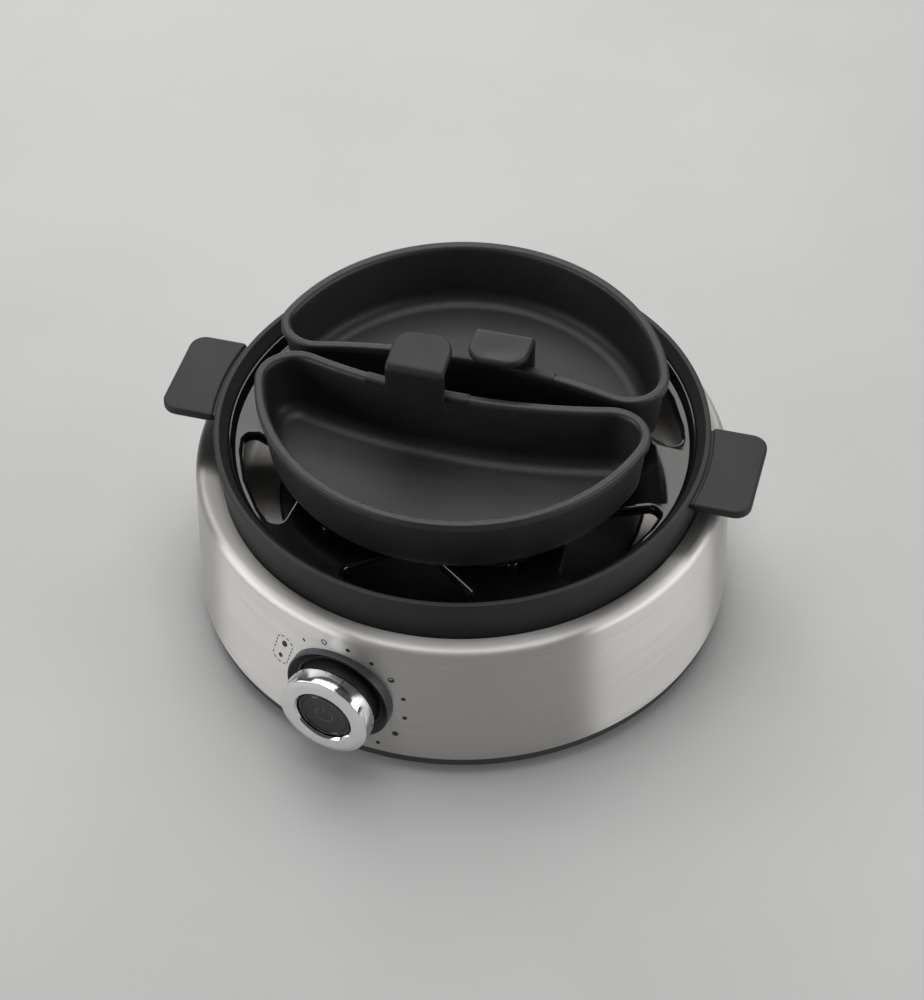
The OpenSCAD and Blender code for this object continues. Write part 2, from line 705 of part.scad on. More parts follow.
module grip() {
    inner = -grip_plate_y;
    side = grip_w / 2;
    dish_y = (inner + grip_over) / 2 + 1;
    dish_z = (grip_bend_z + grip_top_z) / 2 + grip_dish_r - grip_dish;
    color([0.07, 0.07, 0.075]) translate([-grip_offset, 0, 0]) union() {
        grip_seat();
        intersection() {
            difference() {
                rotate([90, 0, 90]) linear_extrude(grip_w + 2, center = true) grip_profile();
                translate([0, dish_y, dish_z]) sphere(r = grip_dish_r, $fn = 96);
            }
            linear_extrude(grip_top_z + 5) polygon(rounded_outline(
                [[-side, inner - 1], [side, inner - 1], [side, grip_over], [-side, grip_over]],
                [0, 0, grip_lip_r, grip_lip_r]));
        }
    }
}

module pan_front() { color([0.17, 0.17, 0.18]) turned() pan(); }
module grip_front() { turned() grip(); }
module pan_back() { color([0.17, 0.17, 0.18]) turned() rotate(180) pan(); }
module grip_back() { turned() rotate(180) grip(); }

housing_shell();
base_plate();
foot_ring();
base_screws();
mounting_posts();
heating_bowl();
heating_plate();
bowl_seal();
heating_element();
heat_spreader();
thermostat();
thermostat_bracket();
thermal_fuse();
temperature_sensor();
heat_shield();
control_board();
board_standoffs();
board_screws();
relay();
capacitor();
buzzer();
terminal_block();
cord_gland();
cord_clamp();
clamp_screws();
internal_leads();
rotary_control();
control_nut();
tact_switch();
knob_bezel();
control_shaft();
knob_hub();
knob_ring();
button_cap();
button_plunger();
button_spring();
carrier_ring();
egg_tray();
pan_front();
grip_front();
pan_back();
grip_back();
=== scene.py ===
"""Looks of the egg cooker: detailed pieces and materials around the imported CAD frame, in metres."""
import json
import math

import bmesh
import bpy
from mathutils import Matrix, Vector
from mathutils.geometry import tessellate_polygon


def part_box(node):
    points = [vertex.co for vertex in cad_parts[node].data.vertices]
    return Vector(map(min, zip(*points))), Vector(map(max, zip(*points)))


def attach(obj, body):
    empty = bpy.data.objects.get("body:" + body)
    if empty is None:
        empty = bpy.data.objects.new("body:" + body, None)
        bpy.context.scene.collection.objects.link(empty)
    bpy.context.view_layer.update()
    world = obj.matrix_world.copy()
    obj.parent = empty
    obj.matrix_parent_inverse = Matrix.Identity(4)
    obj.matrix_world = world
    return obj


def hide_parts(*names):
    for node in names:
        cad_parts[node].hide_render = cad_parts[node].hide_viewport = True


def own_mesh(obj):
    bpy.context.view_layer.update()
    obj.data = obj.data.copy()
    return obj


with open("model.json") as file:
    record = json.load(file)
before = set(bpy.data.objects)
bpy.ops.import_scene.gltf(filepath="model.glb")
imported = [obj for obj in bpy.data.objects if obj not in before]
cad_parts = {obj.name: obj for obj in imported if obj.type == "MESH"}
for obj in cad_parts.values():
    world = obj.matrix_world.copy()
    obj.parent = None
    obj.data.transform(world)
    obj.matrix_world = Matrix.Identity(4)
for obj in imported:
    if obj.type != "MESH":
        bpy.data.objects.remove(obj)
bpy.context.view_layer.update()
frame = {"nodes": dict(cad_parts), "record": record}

# ---- sizes read from the frame ----

MM = 0.001
shell_lo, shell_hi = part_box("housing_shell")
BOTTOM_R = shell_hi.x
FLARE = 2 * MM
SHOULDER_R = BOTTOM_R - FLARE
SHOULDER_Z = shell_hi.z
STEEL_Z = shell_lo.z
RIM_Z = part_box("carrier_ring")[1].z
TRAY_R = 84.7 * MM
RING_R = 88.3 * MM
RING_FLARE = 1.5 * MM
HANDLE_R = 109.0 * MM
HANDLE_W = 40 * MM
TRAY_TURN = 11
LEDGE_Z = 73.2 * MM
FLOOR_Z = 70.5 * MM
TRAY_SHEET = 1.8 * MM
PAN_BOTTOM_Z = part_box("pan_front")[0].z
PAN_RIM_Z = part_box("pan_front")[1].z
GRIP_TOP_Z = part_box("grip_front")[1].z
knob_lo, knob_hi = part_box("knob_ring")
KNOB_Z = (knob_lo.z + knob_hi.z) / 2
KNOB_R = knob_hi.x
KNOB_FRONT = -knob_lo.y
KNOB_BACK = -knob_hi.y
cap_lo, cap_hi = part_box("button_cap")
CAP_R = cap_hi.x
CAP_FRONT = -cap_lo.y
BEZEL_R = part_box("knob_bezel")[1].x
SHEET = 0.8 * MM

FRONT = Matrix.Translation((0, 0, KNOB_Z)) @ Matrix.Rotation(math.radians(90), 4, "X")
TURNED = Matrix.Rotation(math.radians(TRAY_TURN), 4, "Z")
HALF_TURN = Matrix.Rotation(math.pi, 4, "Z")


# ---- outlines ----

def arc(centre, r, start, end, steps):
    """Points on an arc, with its angles in degrees."""
    angles = [math.radians(start + (end - start) * i / steps) for i in range(steps + 1)]
    return [(centre[0] + r * math.cos(a), centre[1] + r * math.sin(a)) for a in angles]


def circle(centre, r, steps):
    return arc(centre, r, 0, 360, steps)[:-1]


def turn_points(points, degrees):
    c, s = math.cos(math.radians(degrees)), math.sin(math.radians(degrees))
    return [(c * x - s * y, s * x + c * y) for x, y in points]


def rounded(points, radii, steps=8):
    """A closed outline with each corner rounded to its own radius, 0 leaving it sharp."""
    out = []
    for i, corner in enumerate(points):
        if radii[i] <= 0:
            out.append(tuple(corner))
            continue
        b = Vector(corner)
        u = (Vector(points[i - 1]) - b).normalized()
        v = (Vector(points[(i + 1) % len(points)]) - b).normalized()
        half = u.angle(v) / 2
        centre = b + (u + v).normalized() * radii[i] / math.sin(half)
        p = b + u * radii[i] / math.tan(half) - centre
        q = b + v * radii[i] / math.tan(half) - centre
        start, end = math.degrees(math.atan2(p.y, p.x)), math.degrees(math.atan2(q.y, q.x))
        sweep = (end - start + 180) % 360 - 180
        out += arc(centre, radii[i], start, start + sweep, steps)
    return out


def inset(points, d):
    """A closed outline moved inwards by d, for an outline that runs anticlockwise."""
    out = []
    for i, corner in enumerate(points):
        b = Vector(corner)
        e1 = (b - Vector(points[i - 1])).normalized()
        e2 = (Vector(points[(i + 1) % len(points)]) - b).normalized()
        normal = Vector((-e1.y - e2.y, e1.x + e2.x)).normalized()
        cosine = max(0.5, normal.dot(Vector((-e1.y, e1.x))))
        out.append(tuple(b + normal * d / cosine))
    return out


def at_height(points, z):
    return [(x, y, z) for x, y in points]


# ---- meshes, each as (points, faces) ----

def lathe(profile, segments=192, closed=True):
    """Turns a profile of (radius, height) points about Z. A point on the axis becomes a pole."""
    points, rows = [], []
    for r, z in profile:
        if r < 1e-7:
            rows.append([len(points)] * segments)
            points.append((0, 0, z))
            continue
        rows.append(list(range(len(points), len(points) + segments)))
        points += [(x, y, z) for x, y in circle((0, 0), r, segments)]
    faces = []
    pairs = list(zip(rows, rows[1:] + rows[:1])) if closed else list(zip(rows, rows[1:]))
    for low, high in pairs:
        for i in range(segments):
            j = (i + 1) % segments
            face = []
            for v in (low[i], low[j], high[j], high[i]):
                if v not in face:
                    face.append(v)
            if len(face) > 2:
                faces.append(face)
    return points, faces


def loft(rings, caps=True, looped=False):
    """Joins rings of equally many points, with flat caps on the two ends."""
    n = len(rings[0])
    points = [p for ring in rings for p in ring]
    spans = range(len(rings)) if looped else range(len(rings) - 1)
    faces = []
    for k in spans:
        a, b = k * n, ((k + 1) % len(rings)) * n
        faces += [(a + i, a + (i + 1) % n, b + (i + 1) % n, b + i) for i in range(n)]
    if caps and not looped:
        faces.append(list(range(n))[::-1])
        faces.append([(len(rings) - 1) * n + i for i in range(n)])
    return points, faces


def joined(*parts):
    points, faces = [], []
    for p, f in parts:
        faces += [[v + len(points) for v in face] for face in f]
        points += p
    return points, faces


def placed(part, matrix):
    return [tuple(matrix @ Vector(p)) for p in part[0]], part[1]


def flat_with_holes(outline, holes, z):
    """A flat sheet between an outline and the holes in it."""
    loops = [[Vector((x, y, z)) for x, y in loop] for loop in [outline] + holes]
    points = [tuple(p) for loop in loops for p in loop]
    return points, [list(t) for t in tessellate_polygon(loops)]


def rounded_plate(outline, low, high, edge, steps=4):
    """A flat plate between two heights whose edges are rounded to radius edge."""
    rings = []
    for i in range(steps + 1):
        a = math.radians(90 * i / steps)
        rings.append(at_height(inset(outline, edge * (1 - math.sin(a))), low + edge * (1 - math.cos(a))))
    for i in range(steps + 1):
        a = math.radians(90 * (1 - i / steps))
        rings.append(at_height(inset(outline, edge * (1 - math.sin(a))), high - edge * (1 - math.cos(a))))
    return loft(rings)


def piece(name, part, look, body, replaces=(), sharp=40):
    """Makes one closed, smooth-shaded object that rides on a body."""
    mesh = bpy.data.meshes.new(name)
    mesh.from_pydata([tuple(p) for p in part[0]], [], [tuple(f) for f in part[1]])
    bm = bmesh.new()
    bm.from_mesh(mesh)
    bmesh.ops.remove_doubles(bm, verts=bm.verts, dist=2e-7)
    bmesh.ops.dissolve_degenerate(bm, edges=bm.edges, dist=1e-7)
    bmesh.ops.recalc_face_normals(bm, faces=bm.faces)
    bm.to_mesh(mesh)
    bm.free()
    mesh.shade_smooth()
    mesh.set_sharp_from_angle(angle=math.radians(sharp))
    mesh.materials.append(look)
    obj = bpy.data.objects.new(name, mesh)
    bpy.context.scene.collection.objects.link(obj)
    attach(obj, body)
    if replaces:
        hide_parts(*replaces)
    return obj


def cut(obj, cutter_part):
    """Takes a closed shape out of a piece, for good."""
    mesh = bpy.data.meshes.new("cutter")
    mesh.from_pydata(cutter_part[0], [], cutter_part[1])
    cutter = bpy.data.objects.new("cutter", mesh)
    bpy.context.scene.collection.objects.link(cutter)
    modifier = obj.modifiers.new("opening", "BOOLEAN")
    modifier.operation = "DIFFERENCE"
    modifier.solver = "EXACT"
    modifier.object = cutter
    bpy.context.view_layer.update()
    done = bpy.data.meshes.new_from_object(obj.evaluated_get(bpy.context.evaluated_depsgraph_get()))
    obj.modifiers.clear()
    obj.data = done
    obj.data.shade_smooth()
    obj.data.set_sharp_from_angle(angle=math.radians(40))
    bpy.data.objects.remove(cutter)


# ---- materials ----

class Look:
    """A Principled material with helpers for its procedural detail."""

    def __init__(self, name, colour, roughness, metallic=0.0, **sockets):
        self.mat = bpy.data.materials.new(name)
        self.mat.use_nodes = True
        self.tree = self.mat.node_tree
        self.shader = self.tree.nodes["Principled BSDF"]
        self.shader.inputs["Base Color"].default_value = (*colour, 1)
        self.shader.inputs["Roughness"].default_value = roughness
        self.shader.inputs["Metallic"].default_value = metallic
        for socket, value in sockets.items():
            self.shader.inputs[socket.replace("_", " ").title().replace("Ior", "IOR")].default_value = value

    def node(self, kind, inputs=(), **settings):
        made = self.tree.nodes.new(kind)
        for key, value in settings.items():
            setattr(made, key, value)
        for key, value in dict(inputs).items():
            if isinstance(value, bpy.types.NodeSocket):
                self.tree.links.new(value, made.inputs[key])
            else:
                made.inputs[key].default_value = value
        return made

    def place(self):
        return self.node("ShaderNodeTexCoord").outputs["Object"]

    def noise(self, vector, scale, detail=4.0, roughness=0.55):
        made = self.node("ShaderNodeTexNoise", {
            "Vector": vector, "Scale": scale, "Detail": detail, "Roughness": roughness})
        return made.outputs["Fac"]

    def between(self, value, low, high):
        """Maps the middle of a noise to the range low to high."""
        made = self.node("ShaderNodeMapRange", {
            "Value": value, "From Min": 0.3, "From Max": 0.7, "To Min": low, "To Max": high})
        return made.outputs["Result"]

    def blend(self, value, dark, light):
        made = self.node("ShaderNodeMix", data_type="RGBA")
        self.tree.links.new(self.between(value, 0.0, 1.0), made.inputs[0])
        made.inputs[6].default_value = (*dark, 1)
        made.inputs[7].default_value = (*light, 1)
        return made.outputs[2]

    def bump(self, height, distance, strength=1.0, base=None):
        inputs = {"Height": height, "Distance": distance, "Strength": strength}
        if base is not None:
            inputs["Normal"] = base
        return self.node("ShaderNodeBump", inputs).outputs["Normal"]

    def use(self, **outputs):
        for socket, output in outputs.items():
            self.tree.links.new(output, self.shader.inputs[socket.replace("_", " ").title()])
        return self.mat


def around_axis(look, along, across):
    """Coordinates that stretch a noise into streaks round the Z axis, with no seam."""
    place = look.place()
    flat = look.node("ShaderNodeVectorMath", {0: place, 1: (1, 1, 0)}, operation="MULTIPLY").outputs[0]
    radius = look.node("ShaderNodeVectorMath", {0: flat}, operation="LENGTH").outputs["Value"]
    unit = look.node("ShaderNodeVectorMath", {0: flat}, operation="NORMALIZE").outputs[0]
    unit = look.node("ShaderNodeVectorMath", {0: unit, "Scale": along}, operation="SCALE").outputs[0]
    height = look.node("ShaderNodeSeparateXYZ", {0: place}).outputs["Z"]
    level = look.node("ShaderNodeMath", {0: height, 1: radius}, operation="SUBTRACT").outputs[0]
    level = look.node("ShaderNodeMath", {0: level, 1: across}, operation="MULTIPLY").outputs[0]
    up = look.node("ShaderNodeCombineXYZ", {"Z": level}).outputs[0]
    return look.node("ShaderNodeVectorMath", {0: unit, 1: up}, operation="ADD").outputs[0]


def brushed_steel(name, dark, light, rough, fine=2600.0, anisotropic=0.75, top_rough=0.0, top_r=1.0):
    """Steel ground round the body: long fine streaks in colour, gloss and relief."""
    look = Look(name, light, rough[0], 1.0, anisotropic=anisotropic, anisotropic_rotation=0.25)
    look.tree.links.new(
        look.node("ShaderNodeTangent", direction_type="RADIAL", axis="Z").outputs[0],
        look.shader.inputs["Tangent"])
    streaks = look.noise(around_axis(look, 5.0, fine), 1.0, 3.0)
    bands = look.noise(around_axis(look, 1.2, fine / 6), 1.0, 2.0)
    mix = look.node("ShaderNodeMix", {0: 0.25}, data_type="FLOAT")
    look.tree.links.new(streaks, mix.inputs[2])
    look.tree.links.new(bands, mix.inputs[3])
    both = mix.outputs[0]
    flat = look.node("ShaderNodeVectorMath", {0: look.place(), 1: (1, 1, 0)}, operation="MULTIPLY").outputs[0]
    radius = look.node("ShaderNodeVectorMath", {0: flat}, operation="LENGTH").outputs["Value"]
    inward = look.node("ShaderNodeMapRange", {
        "Value": radius, "From Min": top_r, "From Max": top_r - 2 * MM,
        "To Min": 0.0, "To Max": top_rough}).outputs["Result"]
    ground = look.between(both, rough[0], rough[1])
    gloss = look.node("ShaderNodeMath", {0: ground, 1: inward}, operation="ADD").outputs[0]
    return look.use(
        base_color=look.blend(both, dark, light),
        roughness=gloss,
        normal=look.bump(streaks, 0.00002, 0.5))


def moulded(name, dark, light, rough, grain=2500.0, relief=0.00003, **sockets):
    """Moulded plastic or rubber with a fine grain."""
    look = Look(name, light, rough[0], **sockets)
    fine = look.noise(look.place(), grain, 3.0)
    broad = look.noise(look.place(), 35.0, 3.0)
    return look.use(
        base_color=look.blend(broad, dark, light),
        roughness=look.between(fine, rough[0], rough[1]),
        normal=look.bump(fine, relief, 0.6))


def glossy_black(name, colour, rough, coat=0.3):
    """Glossy moulded black, with the faint waviness and handling haze of a real surface."""
    look = Look(name, colour, rough[0], coat_weight=coat, coat_roughness=0.04)
    haze = look.noise(look.place(), 60.0, 5.0)
    wave = look.noise(look.place(), 45.0, 1.0)
    return look.use(
        base_color=look.blend(haze, colour, tuple(c * 1.6 for c in colour)),
        roughness=look.between(haze, rough[0], rough[1]),
        normal=look.bump(wave, 0.0003, 0.12))


def coated(name, dark, light, rough):
    """Non-stick coating: satin, with a fine orange-peel and sparse paler flecks."""
    look = Look(name, light, rough[0])
    peel = look.noise(look.place(), 900.0, 2.0)
    cloud = look.noise(look.place(), 55.0, 4.0)
    return look.use(
        base_color=look.blend(cloud, dark, light),
        roughness=look.between(peel, rough[0], rough[1]),
        normal=look.bump(peel, 0.00006, 0.5))


def plated(name, colour, rough):
    """Bright plated metal with faint haze."""
    look = Look(name, colour, rough[0], 1.0)
    haze = look.noise(look.place(), 120.0, 4.0)
    return look.use(
        base_color=look.blend(haze, tuple(c * 0.96 for c in colour), colour),
        roughness=look.between(haze, rough[0], rough[1]))


LOOKS = {
    "steel_body": brushed_steel("steel_body", (0.60, 0.585, 0.565), (0.70, 0.685, 0.66), (0.34, 0.42),
                                anisotropic=1.0, top_rough=0.12, top_r=SHOULDER_R - 1.5 * MM),
    "steel_bowl": brushed_steel("steel_bowl", (0.60, 0.58, 0.55), (0.74, 0.72, 0.69), (0.45, 0.55)),
    "coated_plate": coated("coated_plate", (0.018, 0.018, 0.019), (0.028, 0.028, 0.03), (0.34, 0.46)),
    "base_plastic": moulded("base_plastic", (0.022, 0.022, 0.024), (0.034, 0.034, 0.036), (0.5, 0.62)),
    "ring_plastic": moulded("ring_plastic", (0.017, 0.017, 0.0185), (0.023, 0.023, 0.025), (0.5, 0.6),
                             specular_ior_level=0.32),
    "tray_plastic": glossy_black("tray_plastic", (0.004, 0.004, 0.0045), (0.06, 0.12)),
    "pan_coating": coated("pan_coating", (0.013, 0.0125, 0.012), (0.02, 0.019, 0.0185), (0.42, 0.52)),
    "grip_plastic": moulded("grip_plastic", (0.014, 0.014, 0.015), (0.02, 0.02, 0.0215), (0.46, 0.56),
                             1800.0, specular_ior_level=0.35),
    "knob_plastic": moulded("knob_plastic", (0.016, 0.016, 0.018), (0.024, 0.024, 0.027), (0.26, 0.36)),
    "bezel_plastic": moulded("bezel_plastic", (0.04, 0.04, 0.044), (0.052, 0.052, 0.058), (0.32, 0.42)),
    "button_gloss": glossy_black("button_gloss", (0.004, 0.004, 0.005), (0.12, 0.18), 0.0),
    "chrome": plated("chrome", (0.84, 0.845, 0.86), (0.09, 0.13)),
    "rubber": moulded("rubber", (0.012, 0.012, 0.012), (0.02, 0.02, 0.02), (0.65, 0.78), 1500.0),
    "silicone": moulded("silicone", (0.62, 0.62, 0.59), (0.7, 0.7, 0.67), (0.5, 0.6)),
    "zinc_steel": plated("zinc_steel", (0.6, 0.6, 0.62), (0.25, 0.38)),
    "aluminium": plated("aluminium", (0.75, 0.75, 0.76), (0.3, 0.42)),
    "heater_tube": plated("heater_tube", (0.3, 0.28, 0.26), (0.4, 0.55)),
    "bakelite": moulded("bakelite", (0.06, 0.045, 0.035), (0.09, 0.07, 0.06), (0.4, 0.5)),
    "white_plastic": moulded("white_plastic", (0.68, 0.68, 0.65), (0.78, 0.78, 0.75), (0.4, 0.5)),
    "board_green": moulded("board_green", (0.015, 0.12, 0.05), (0.03, 0.17, 0.07), (0.3, 0.4)),
    "relay_blue": moulded("relay_blue", (0.03, 0.1, 0.3), (0.04, 0.14, 0.38), (0.25, 0.35)),
    "lead_insulation": moulded("lead_insulation", (0.24, 0.15, 0.1), (0.32, 0.2, 0.13), (0.45, 0.55)),
    "brass": plated("brass", (0.72, 0.58, 0.32), (0.25, 0.35)),
    "fuse_ceramic": moulded("fuse_ceramic", (0.72, 0.7, 0.64), (0.8, 0.78, 0.72), (0.3, 0.4)),
}
INK = moulded("dial_ink", (0.008, 0.008, 0.008), (0.014, 0.014, 0.014), (0.5, 0.6))


# ---- body ----

def steel_radius(z):
    """Radius of the steel's outside at a height on its side."""
    top = SHOULDER_Z - 3 * MM
    return BOTTOM_R - (FLARE - 0.01 * MM) * (z - STEEL_Z) / (top - STEEL_Z)


def housing_shell():
    """The flared steel body with its rounded shoulder and the annulus that dips to the tray."""
    turn, annulus_r, annulus_z = 3 * MM, 88.9 * MM, SHOULDER_Z - 1.5 * MM
    centre = (SHOULDER_R - turn, SHOULDER_Z - turn)
    side = [(steel_radius(z), z) for z in
            [STEEL_Z + (SHOULDER_Z - turn - STEEL_Z) * i / 14 for i in range(15)]]
    side[0] = (BOTTOM_R - 0.15 * MM, STEEL_Z + 0.05 * MM)
    side.insert(1, (steel_radius(STEEL_Z + 0.4 * MM), STEEL_Z + 0.4 * MM))
    lip = arc((annulus_r + 0.5 * MM, annulus_z - 0.5 * MM), 0.5 * MM, 110, 180, 4)
    outside = side + arc(centre, turn, 4, 106, 12) + lip
    inside = [(annulus_r + SHEET, annulus_z - 1.2 * MM)]
    inside += arc(centre, turn - SHEET, 104, 4, 8)
    inside += [(BOTTOM_R - SHEET, STEEL_Z)]
    shell = piece("steel_shell", lathe(outside + inside, 256), LOOKS["steel_body"], "housing",
                  ["housing_shell"])
    hole = lathe([(0, 85 * MM), (18.7 * MM, 85 * MM), (18.7 * MM, 110 * MM), (0, 110 * MM)], 96, closed=False)
    cut(shell, placed(hole, FRONT))
    inlet = lathe([(0, 90 * MM), (5.4 * MM, 90 * MM), (5.4 * MM, 110 * MM), (0, 110 * MM)], 64, closed=False)
    back = Matrix.Translation((0, 0, 17 * MM)) @ Matrix.Rotation(math.radians(-90), 4, "X")
    cut(shell, placed(inlet, back))


def heating_bowl():
    """The bowl's brushed wall and floor, seen through the tray's windows."""
    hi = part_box("heating_bowl")[1]
    wall, floor, fillet = 84.6 * MM, 44 * MM, 5 * MM
    corner = (wall - fillet, floor + fillet)
    inside = [(hi.x, hi.z), (wall + 1.4 * MM, hi.z)]
    inside += arc((wall + 1.2 * MM, hi.z - 1.2 * MM), 1.2 * MM, 90, 180, 5)
    inside += arc(corner, fillet, 0, -90, 10) + [(68 * MM, floor)]
    outside = [(68 * MM, floor - SHEET)] + arc(corner, fillet + SHEET, -90, 0, 10)
    outside += [(wall + SHEET, hi.z - 1.6 * MM), (hi.x, hi.z - SHEET)]
    piece("bowl_wall", lathe(inside + outside, 224), LOOKS["steel_bowl"], "housing",
          ["heating_bowl"])


def heating_plate():
    """The coated plate, dished towards its middle, with two pressed steps."""
    lo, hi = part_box("heating_plate")
    top = hi.z
    profile = [(0, lo.z), (hi.x, lo.z), (hi.x, lo.z + 2.4 * MM), (67.8 * MM, lo.z + 2.4 * MM)]
    profile += arc((66.4 * MM, top - 0.9 * MM), 0.9 * MM, 10, 90, 5)
    profile += [(63 * MM, top - 0.4 * MM), (60 * MM, top - 0.9 * MM),
                (45 * MM, top - 1.1 * MM), (43.5 * MM, top - 1.6 * MM),
                (20 * MM, top - 1.7 * MM), (0, top - 1.75 * MM)]
    piece("plate_coated", lathe(profile, 160, closed=False), LOOKS["coated_plate"], "housing",
          ["heating_plate"])


# ---- knob ----

def knob_bezel():
    """The dished ring that the knob stands in: a thin rim, a cone, a step and a floor."""
    front = 100.2 * MM
    outer = BEZEL_R
    profile = [(outer, 95.9 * MM), (outer, front - 0.4 * MM)]
    profile += arc((outer - 0.35 * MM, front - 0.35 * MM), 0.35 * MM, 10, 110, 5)
    profile += [(outer - 0.8 * MM, front - 0.35 * MM), (17.4 * MM, front - 1.5 * MM),
                (17.25 * MM, front - 2.1 * MM), (16.9 * MM, front - 2.15 * MM),
                (16.75 * MM, front - 1.7 * MM), (16.1 * MM, front - 1.85 * MM),
                (15.9 * MM, 97.4 * MM), (15.5 * MM, 96.8 * MM), (3.6 * MM, 96.6 * MM), (3.6 * MM, 95 * MM),
                (18.6 * MM, 95 * MM), (18.6 * MM, 95.9 * MM)]
    piece("bezel_ring", placed(lathe(profile, 128), FRONT), LOOKS["bezel_plastic"], "housing",
          ["knob_bezel"])


def knob_hub():
    """The dark barrel behind the chrome ring, with a fine groove."""
    r = 15.3 * MM
    groove = KNOB_BACK - 1.1 * MM
    profile = [(3 * MM, 100.6 * MM), (7.2 * MM, 100.6 * MM), (7.2 * MM, 97.6 * MM), (r - 0.8 * MM, 97.6 * MM)]
    profile += arc((r - 0.7 * MM, 98.3 * MM), 0.7 * MM, -90, 0, 4)
    profile += [(r, groove - 0.4 * MM), (r - 0.5 * MM, groove), (r - 0.5 * MM, groove + 0.5 * MM),
                (r + 0.6 * MM, groove + 0.8 * MM), (r + 0.6 * MM, KNOB_BACK),
                (CAP_R + 0.4 * MM, KNOB_BACK), (CAP_R + 0.4 * MM, KNOB_BACK + 2.6 * MM),
                (3 * MM, KNOB_BACK + 2.6 * MM)]
    piece("knob_barrel", placed(lathe(profile, 128), FRONT), LOOKS["knob_plastic"], "knob",
          ["knob_hub"])


def knob_ring():
    """The chrome ring: a straight side, a broad front chamfer, a flat face and a fine inner chamfer."""
    inner, r, front, back = CAP_R + 0.4 * MM, KNOB_R, KNOB_FRONT, KNOB_BACK
    chamfer, depth = 1.7 * MM, 0.65 * MM
    profile = [(inner, back)]
    profile += arc((r - 0.45 * MM, back + 0.45 * MM), 0.45 * MM, -90, 0, 4)
    profile += arc((r - 0.3 * MM, front - depth - 0.15 * MM), 0.3 * MM, 0, 55, 4)
    profile += [(r - chamfer, front - 0.06 * MM), (r - chamfer - 0.1 * MM, front - 0.01 * MM),
                (r - chamfer - 0.3 * MM, front)]
    profile += [(inner + 0.75 * MM, front - 0.12 * MM), (inner + 0.6 * MM, front - 0.2 * MM),
                (inner + 0.1 * MM, front - 0.8 * MM), (inner, front - 1.0 * MM)]
    piece("chrome_ring", placed(lathe(profile, 192), FRONT), LOOKS["chrome"], "knob",
          ["knob_ring"], sharp=15)


def knob_index():
    """The black index line let into the chrome ring's side."""
    angle, width = 20.0, 0.45 * MM
    half = math.degrees(width / 2 / KNOB_R)
    rings = []
    for s in (KNOB_BACK + 0.5 * MM, KNOB_BACK + 0.7 * MM, KNOB_FRONT - 1.5 * MM, KNOB_FRONT - 1.35 * MM):
        low = arc((0, 0), KNOB_R - 0.3 * MM, 90 - angle - half, 90 - angle + half, 2)
        high = arc((0, 0), KNOB_R + 0.03 * MM, 90 - angle + half, 90 - angle - half, 2)
        rings.append([(x, y, s) for x, y in low + high])
    piece("knob_index_line", placed(loft(rings), FRONT), INK, "knob")


def start_button():
    """The dished glossy cap with a fine ring near its edge and a plain start symbol."""
    back = -cap_hi.y
    r, front = CAP_R, CAP_FRONT
    profile = [(1.3 * MM, back), (r - 0.4 * MM, back), (r - 0.05 * MM, back + 0.4 * MM)]
    profile += arc((r - 0.55 * MM, front - 0.5 * MM), 0.5 * MM, 0, 90, 6)
    profile += [(r - 1.2 * MM, front - 0.02 * MM), (r - 1.35 * MM, front - 0.22 * MM),
                (r - 1.6 * MM, front - 0.22 * MM), (r - 1.75 * MM, front - 0.05 * MM)]
    profile += [(r * k, front - (0.05 + 0.35 * (1 - k * k)) * MM) for k in (0.75, 0.6, 0.45, 0.3, 0.15, 0.0)]
    profile += [(0, back + 1 * MM), (1.3 * MM, back + 1 * MM)]
    piece("start_cap", placed(lathe(profile, 128), FRONT), LOOKS["button_gloss"], "start_button",
          ["button_cap"])
    level, r_mark, w = front - 0.36 * MM, 3.3 * MM, 0.28 * MM
    ring = [at_height(arc((0, 0), r_mark + dr, 90 + 38, 90 + 322, 40), level + dz) for dr, dz in
            ((-w, -0.1 * MM), (w, -0.1 * MM), (w, 0.06 * MM), (-w, 0.06 * MM))]
    ring = [list(section) for section in zip(*ring)]
    stroke = rounded([(-w, 0.9 * MM), (w, 0.9 * MM), (w, 3.9 * MM), (-w, 3.9 * MM)], [w * 0.9] * 4, 4)
    bar = rounded_plate(stroke, level - 0.1 * MM, level + 0.06 * MM, 0.05 * MM, 2)
    symbol = moulded("symbol_grey", (0.05, 0.05, 0.055), (0.07, 0.07, 0.075), (0.4, 0.5))
    piece("start_symbol", placed(joined(loft(ring), bar), FRONT), symbol, "start_button")


def return_spring():
    """The light coil behind the cap. It stands on the knob."""
    lo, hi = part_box("button_spring")
    wire, turns, steps, stroke = 0.2 * MM, 2.5, 60, 1.2 * MM
    coil, length = (hi.x - lo.x) / 2 - wire, hi.y - lo.y
    rings = []
    for i in range(steps + 1):
        t = 2 * math.pi * turns * i / steps
        s = -hi.y + wire + (length - 2 * wire) * i / steps
        section = [(coil + wire * math.cos(a), s + wire * math.sin(a))
                   for a in (2 * math.pi * k / 8 for k in range(8))]
        rings.append([(r * math.cos(t), r * math.sin(t), level) for r, level in section])
    spring = piece("return_spring", placed(loft(rings), FRONT), LOOKS["zinc_steel"], "knob",
                   ["button_spring"])
    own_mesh(spring)


# ---- dial marks printed on the steel ----

DIAL_R, DIAL_DOWN = 24.4 * MM, 0.9 * MM
PRINT = 0.05 * MM


def on_steel(x, y, lift):
    """The point over (x, y) of the knob's own plane that lies on the steel, lifted by a little."""
    z = KNOB_Z + y
    r = steel_radius(z) + lift
    return (x, -math.sqrt(r * r - x * x), z)


def printed(outline):
    """A thin printed patch on the steel with that outline."""
    return loft([[on_steel(x, y, lift) for x, y in outline] for lift in (-PRINT, PRINT)])


def printed_band(inner, outer):
    """A thin printed ring or stroke between two lines of equally many points."""
    rings = []
    for a, b in zip(inner, outer):
        rings.append([on_steel(*a, -PRINT), on_steel(*b, -PRINT), on_steel(*b, PRINT), on_steel(*a, PRINT)])
    return rings


